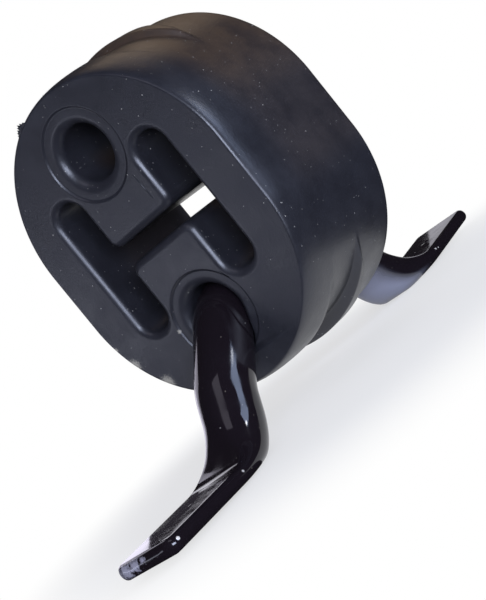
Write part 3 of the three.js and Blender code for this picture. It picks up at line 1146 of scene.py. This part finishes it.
    def tunnel(
        self, body: ClosedBody, outline_at: Callable[[float], Outline], lip: float, middle: int
    ) -> list[Loop]:
        """Adds a tunnel through the block with a rounded lip at both faces.

        Args:
            body: the body that gets the loops.
            outline_at: gives the tunnel's outline, grown by some amount.
            lip: the lip's radius.
            middle: number of rings between the two lips.

        Returns:
            The margin loops that lie in the two faces, front and rear.
        """
        steps = self.lip_steps(lip)
        margin = outline_at(lip + self.edge_margin)
        front = [(self.front_face, margin)]
        front += [(self.front_face + depth, outline_at(grow)) for depth, grow in steps]
        length = self.block_depth - 2 * lip
        inside = [
            (self.front_face + lip + length * i / (middle + 1), outline_at(0))
            for i in range(1, middle + 1)
        ]
        rear = [(self.rear_face - depth, outline_at(grow)) for depth, grow in reversed(steps)]
        rear += [(self.rear_face, margin)]
        rings = [place_at_depth(outline, depth) for depth, outline in [*front, *inside, *rear]]
        loops = [body.add_loop(map(self.clear_of_tube, ring)) for ring in rings]
        body.sweep(loops)
        return [loops[0], loops[-1]]

    def eye(self, body: ClosedBody, radius: float, height: float) -> list[Loop]:
        """Adds an eye, its lips and the shallow ring that is let into each face round it.

        Args:
            body: the body that gets the loops.
            radius: the eye's radius.
            height: its height.

        Returns:
            The margin loops that lie in the two faces, front and rear.
        """
        # the ring's soft edge: shares of its depth, and how far each step is drawn in
        edge = ((0.0, -self.edge_margin), (0.0, 0.0), (0.5, 0.12), (1.0, 0.3), (1.0, 0.6))
        ring = [
            (share * self.eye_ring_depth, self.eye_ring_radius - drawn_in)
            for share, drawn_in in edge
        ]
        lip = [
            (self.eye_ring_depth + depth, radius + grow)
            for depth, grow in self.lip_steps(self.eye_lip)
        ]
        half = [*ring, *lip]
        front = [(self.front_face + depth, size) for depth, size in half]
        inside = [(share * self.front_face, radius) for share in (0.6, 0.4, 0.2, 0, -0.2, -0.4, -0.6)]
        rear = [(self.rear_face - depth, size) for depth, size in reversed(half)]
        loops = []
        for depth, size in [*front, *inside, *rear]:
            outline = circle_outline(size, height, self.eye_segments)
            loops.append(body.add_loop(map(self.clear_of_tube, place_at_depth(outline, depth))))
        body.sweep(loops)
        return [loops[0], loops[-1]]

    def build(self, finish: bpy.types.Material) -> bpy.types.Object:
        """Builds the block and lets it stand for its CAD node.

        Args:
            finish: the block's material.

        Returns:
            The block's object.
        """
        body = ClosedBody()
        depths = self.depth_stations()
        wall = [body.add_loop(place_at_depth(self.block_outline(depth), depth)) for depth in depths]
        margins = [
            body.add_loop(place_at_depth(self.block_outline(depth, self.edge_margin), depth))
            for depth in (self.front_face, self.rear_face)
        ]
        body.sweep([margins[0], *wall, margins[1]])
        tunnels = [
            self.tunnel(body, self.slot_outline, self.slot_lip, middle=6),
            self.eye(body, self.free_eye_radius, self.free_eye_height),
            self.eye(body, self.tube_eye_radius, self.tube_eye_height),
        ]
        for side, margin in enumerate(margins):
            body.fill(margin, [tunnel[side] for tunnel in tunnels])
        piece = body.build("moulded_rubber_block", finish)
        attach(piece, "root")
        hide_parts("rubber_block")
        return piece


@dataclass
class MouldFlash:
    """Skins of rubber left by the mould: a ragged burr on the rim, a thread on the upper tongue."""

    block: RubberBlock
    burr_start: float = 106.5
    burr_step: float = 0.55
    burr_heights: tuple[float, ...] = (
        0.2, 0.7, 0.5, 1.2, 0.8, 1.5, 1.0, 1.3, 0.6, 1.1, 0.7, 0.9, 0.4, 0.6, 0.2)
    burr_depth: float = -18.6
    burr_root: float = 0.3
    burr_lean: float = 0.35
    burr_thickness: float = 0.35
    burr_tip_share: float = 0.4
    thread_ends: tuple[tuple[float, float], ...] = ((7.2, 63.4), (7.45, 60.0), (7.6, 56.4))
    thread_swell: tuple[float, ...] = (0.3, 1.0, 0.3)
    thread_width: float = 0.28
    thread_height: float = 0.16
    thread_root: float = 0.1
    thread_crest_share: float = 0.3

    def burr(self, body: ClosedBody) -> None:
        """Adds the ragged burr that stands up from the upper left of the front rim.

        Args:
            body: the body that gets the burr.
        """
        rings = []
        for i, height in enumerate(self.burr_heights):
            angle = self.burr_start + i * self.burr_step
            turn = math.radians(angle)
            outwards = Vector((math.cos(turn), -self.burr_lean, math.sin(turn))).normalized()
            radius = self.block.body_radius(self.burr_depth, angle) - self.burr_root
            centre = Vector((0, self.burr_depth, self.block.block_middle + self.block.end_centre))
            root = centre + radius * Vector((math.cos(turn), 0, math.sin(turn)))
            half = Vector((0, self.burr_thickness / 2, 0))
            tip = root + (height + self.burr_root) * outwards
            tip_half = self.burr_tip_share * half
            rings.append(body.add_loop([root - half, tip - tip_half, tip + tip_half, root + half]))
        body.sweep_bar(rings)

    def thread(self, body: ClosedBody) -> None:
        """Adds the thin thread along the upper tongue.

        Args:
            body: the body that gets the thread.
        """
        rings = []
        for (x, z), share in zip(self.thread_ends, self.thread_swell):
            half = share * self.thread_width / 2
            crest_half = self.thread_crest_share * half
            root = self.block.front_face + self.thread_root
            crest = self.block.front_face - share * self.thread_height
            section = ((-half, root), (-crest_half, crest), (crest_half, crest), (half, root))
            rings.append(body.add_loop(Vector((x + side, depth, z)) for side, depth in section))
        body.sweep_bar(rings)

    def build(self, finish: bpy.types.Material) -> bpy.types.Object:
        """Builds the flash as one piece.

        Args:
            finish: the flash's material.

        Returns:
            The flash's object.
        """
        body = ClosedBody()
        self.burr(body)
        self.thread(body)
        piece = body.build("mould_flash", finish)
        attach(piece, "root")
        return piece


@dataclass
class LooseGrains:
    """Grains scattered over a piece with Geometry Nodes.

    The density is in grains per square millimetre. A grain's width, depth and height are random
    shares of its radius, between the least and the most, and it lies flat on the surface.
    """

    name: str
    density: float
    grain_radius: float
    seed: int
    slot: str
    least_scale: Place = (0.45, 0.45, 0.25)
    most_scale: Place = (1.5, 1.5, 0.6)

    def tree(self, finish: bpy.types.Material) -> tuple[Tree, dict[str, str]]:
        """Builds the node tree.

        Args:
            finish: the grains' material.

        Returns:
            The tree, and each named input's identifier.
        """
        tree = bpy.data.node_groups.new(self.name, "GeometryNodeTree")
        ends = tree.interface
        ends.new_socket("Surface", in_out="INPUT", socket_type="NodeSocketGeometry")
        kinds = {"Density": "Float", "Grain Radius": "Float", "Seed": "Int"}
        sizes = {
            name: ends.new_socket(name, in_out="INPUT", socket_type=f"NodeSocket{kind}").identifier
            for name, kind in kinds.items()
        }
        ends.new_socket("Grains", in_out="OUTPUT", socket_type="NodeSocketGeometry")
        entry = add_node(tree, "NodeGroupInput")
        points = add_node(tree, "GeometryNodeDistributePointsOnFaces", {"distribute_method": "RANDOM"}, {
            "Mesh": entry.outputs["Surface"], "Density": entry.outputs["Density"],
            "Seed": entry.outputs["Seed"]})
        ball = add_node(tree, "GeometryNodeMeshIcoSphere", inputs={
            "Radius": entry.outputs["Grain Radius"], "Subdivisions": 1})
        spread = add_node(tree, "FunctionNodeRandomValue", {"data_type": "FLOAT_VECTOR"}, {
            0: self.least_scale, 1: self.most_scale, "Seed": entry.outputs["Seed"]})
        grains = add_node(tree, "GeometryNodeInstanceOnPoints", inputs={
            "Points": points.outputs["Points"], "Instance": ball.outputs["Mesh"],
            "Rotation": points.outputs["Rotation"], "Scale": spread.outputs[0]})
        real = add_node(tree, "GeometryNodeRealizeInstances", inputs={"Geometry": grains.outputs[0]})
        coated = add_node(tree, "GeometryNodeSetMaterial", inputs={
            "Geometry": real.outputs[0], "Material": finish})
        add_node(tree, "NodeGroupOutput", inputs={0: coated.outputs[0]})
        return tree, sizes

    def build(self, surface: bpy.types.Object, finish: bpy.types.Material) -> bpy.types.Object:
        """Scatters the grains over a finished piece and makes them a plain mesh.

        Args:
            surface: the piece that carries the grains.
            finish: the grains' material.

        Returns:
            The grains' object.
        """
        tree, sizes = self.tree(finish)
        carrier = add_object(self.name, surface.data.copy())
        modifier = carrier.modifiers.new(self.name, "NODES")
        modifier.node_group = tree
        modifier[sizes["Density"]] = self.density / MM**2
        modifier[sizes["Grain Radius"]] = self.grain_radius * MM
        modifier[sizes["Seed"]] = self.seed
        bpy.context.view_layer.update()
        evaluated = carrier.evaluated_get(bpy.context.evaluated_depsgraph_get())
        mesh = bpy.data.meshes.new_from_object(evaluated)
        bpy.data.objects.remove(carrier)
        piece = add_object(self.name, mesh)
        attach(piece, "root")
        return piece


@dataclass(frozen=True)
class SoftLamp:
    """A rectangular lamp: its place, its width and height in millimetres, and its power in watts."""

    name: str
    place: Place
    size: Span
    power: float
    colour: str

    def build(self, aim: Vector) -> None:
        """Hangs the lamp.

        Args:
            aim: the point that it looks at, in metres.
        """
        data = bpy.data.lights.new(self.name, "AREA")
        data.shape = "RECTANGLE"
        data.size = self.size[0] * MM
        data.size_y = self.size[1] * MM
        data.energy = self.power
        data.color = linear(self.colour)[:3]
        lamp = add_object(self.name, data)
        lamp.location = Vector(self.place) * MM
        lamp.rotation_euler = (aim - lamp.location).to_track_quat("-Z", "Y").to_euler()


@dataclass
class Studio:
    """White surroundings, soft lamps and the camera at the photograph's viewing angle."""

    camera_place: Place = (182.8, -232.48, 42.96)
    camera_axes: tuple[Place, ...] = (
        (0.623578, 0.459137, 0.632727),
        (0.464969, 0.432816, -0.772317),
        (-0.628454, 0.775799, 0.05641),
    )
    lens: float = 76.534
    sensor: float = 36.0
    clip_start: float = 10.0
    floor_size: float = 4000.0
    floor_shade: str = "#f4f4f4"
    floor_fade: Span = (50.0, 110.0)
    near_whiteness: float = 0.6
    paper_radius: float = 46.0
    table_height: float = 0.2
    table_segments: int = 72
    room_radius: float = 1900.0
    room_segments: int = 96
    room_shade: str = "#242226"
    backdrop_azimuth: float = 135.0
    backdrop_sector: float = 86.0
    ambient: float = 0.32
    ambient_shade: str = "#e9edf5"
    lamp_aim_height: float = 45.0
    lamps: tuple[SoftLamp, ...] = (
        SoftLamp("front_window", (530, -550, 118), (500, 230), 6.3, "#d9e3ff"),
        SoftLamp("side_window", (655, 150, 243), (270, 300), 1.4, "#c6d8ff"),
        SoftLamp("bright_pane", (539, 190, 324), (40, 60), 0.2, "#ffffff"),
        SoftLamp("rear_lamp", (-110, 470, 480), (260, 220), 0.13, "#ffe2c2"),
        SoftLamp("wall_at_left", (-400, -400, 40), (420, 76), 0.26, "#e6eaff"),
        SoftLamp("grey_ceiling", (139, -273, 435), (220, 200), 0.14, "#f2ecff"),
        # cards that only the gloss of the arms and the feet picks up
        SoftLamp("low_card_behind_tip", (-214, 61, 31), (80, 58), 0.026, "#f0ecff"),
        SoftLamp("tall_card_behind_tip", (-262, 40, 130), (120, 150), 0.09, "#f0ecff"),
        SoftLamp("card_behind_ridge", (-318, 271, 175), (90, 170), 0.08, "#f6f4ff"),
        SoftLamp("card_behind_rear_foot", (-88, 293, 60), (84, 50), 0.01, "#f6f4ff"),
        SoftLamp("dim_card", (-292, 206, 35), (220, 50), 0.001, "#e8ddff"),
    )

    def add_camera(self) -> None:
        """Adds the camera, which is rolled so that up points to the upper left."""
        data = bpy.data.cameras.new("camera")
        data.lens = self.lens
        data.sensor_width = self.sensor
        data.sensor_fit = "AUTO"
        data.clip_start = self.clip_start * MM
        camera = add_object("camera", data)
        place = Matrix.Translation(Vector(self.camera_place) * MM)
        camera.matrix_world = place @ Matrix(self.camera_axes).to_4x4()
        bpy.context.scene.camera = camera

    def add_room(self) -> None:
        """Adds the dark room round the object, and the dark table round its sheet of white paper.

        Only reflections see them, and the paper runs on under the backdrop at the back left.
        """
        shell = bmesh.new()
        bmesh.ops.create_uvsphere(
            shell, u_segments=self.room_segments, v_segments=self.room_segments // 2,
            radius=self.room_radius * MM)
        open_sector = math.radians(self.backdrop_sector) / 2
        for i in range(self.table_segments):
            turns = [math.tau * k / self.table_segments for k in (i, i + 1)]
            middle = sum(turns) / 2 - math.radians(self.backdrop_azimuth)
            if math.cos(middle) > math.cos(open_sector):
                continue
            inner_a, inner_b, outer_a, outer_b = (
                shell.verts.new((
                    radius * MM * math.cos(turn), radius * MM * math.sin(turn),
                    self.table_height * MM))
                for radius in (self.paper_radius, self.room_radius)
                for turn in turns
            )
            shell.faces.new((inner_a, inner_b, outer_b, outer_a))
        mesh = bpy.data.meshes.new("dark_room")
        shell.to_mesh(mesh)
        shell.free()
        material, tree = new_material("dark_cloth")
        weave = add_node(tree, "ShaderNodeEmission", inputs={
            "Color": linear(self.room_shade), "Strength": 1.0})
        add_node(tree, "ShaderNodeOutputMaterial", inputs={"Surface": weave.outputs[0]})
        mesh.materials.append(material)
        room = add_object("dark_room", mesh)
        room.visible_camera = False
        room.visible_diffuse = False
        room.visible_transmission = False
        room.visible_shadow = False

    def add_world(self) -> None:
        """Lights the scene evenly, and shows white to the camera and in reflections."""
        world = bpy.data.worlds.new("white_surroundings")
        bpy.context.scene.world = world
        world.use_nodes = True
        tree = world.node_tree
        tree.nodes.clear()
        soft = add_node(tree, "ShaderNodeBackground", inputs={
            "Color": linear(self.ambient_shade), "Strength": self.ambient})
        white = add_node(tree, "ShaderNodeBackground", inputs={"Color": (1, 1, 1, 1), "Strength": 1.0})
        mix = add_node(tree, "ShaderNodeMixShader", inputs={
            0: seen_or_mirrored(tree), 1: soft.outputs[0], 2: white.outputs[0]})
        add_node(tree, "ShaderNodeOutputWorld", inputs={"Surface": mix.outputs[0]})

    def add_floor(self) -> None:
        """Adds the pale floor, which keeps the shadow near the object and is white further off."""
        mesh = bpy.data.meshes.new("floor")
        half = self.floor_size / 2 * MM
        corners = [(-half, -half, 0), (half, -half, 0), (half, half, 0), (-half, half, 0)]
        mesh.from_pydata(corners, [], [(0, 1, 2, 3)])
        material, tree = new_material("white_paper")
        where = add_node(tree, "ShaderNodeTexCoord").outputs["Object"]
        reach = add_node(tree, "ShaderNodeVectorMath", {"operation": "LENGTH"}, {0: where})
        near, distant = self.floor_fade
        whiteness = add_node(tree, "ShaderNodeMapRange", {"interpolation_type": "SMOOTHSTEP"}, {
            "Value": reach.outputs["Value"], "From Min": near * MM, "From Max": distant * MM,
            "To Min": self.near_whiteness})
        paper = add_node(tree, "ShaderNodeBsdfDiffuse", inputs={"Color": linear(self.floor_shade)})
        glow = add_node(tree, "ShaderNodeEmission", inputs={"Color": (1, 1, 1, 1), "Strength": 1.0})
        mix = add_node(tree, "ShaderNodeMixShader", inputs={
            0: overlap(tree, whiteness.outputs[0], seen_or_mirrored(tree)),
            1: paper.outputs[0], 2: glow.outputs[0]})
        add_node(tree, "ShaderNodeOutputMaterial", inputs={"Surface": mix.outputs[0]})
        mesh.materials.append(material)
        add_object("floor", mesh)

    def build(self) -> None:
        """Builds the studio."""
        bpy.context.scene.view_settings.view_transform = "Standard"
        self.add_world()
        self.add_floor()
        self.add_room()
        for lamp in self.lamps:
            lamp.build(Vector((0, 0, self.lamp_aim_height * MM)))
        self.add_camera()


def main() -> None:
    """Builds the hanger piece by piece, reports each piece and sets them in the studio."""
    logging.basicConfig(level=logging.INFO, format="%(message)s")
    bracket = TubeBracket()
    block = RubberBlock(bracket)
    grains = LooseGrains("dust_on_rubber", density=0.012, grain_radius=0.13, seed=7, slot="rubber")
    grit = LooseGrains("grit_in_enamel", density=0.008, grain_radius=0.12, seed=3, slot="black_enamel")
    rubber = MouldedRubber().build()
    dust = RoadDust().build()
    enamelled = bracket.build(BlackEnamel().build())
    moulded = block.build(rubber)
    flash = MouldFlash(block).build(rubber)
    pieces = [enamelled, moulded, flash, grains.build(moulded, dust), grit.build(enamelled, dust)]
    for piece in pieces:
        logger.info("%s: %d faces", piece.name, len(piece.data.polygons))
    Studio().build()


if __name__ == "__main__":
    main()
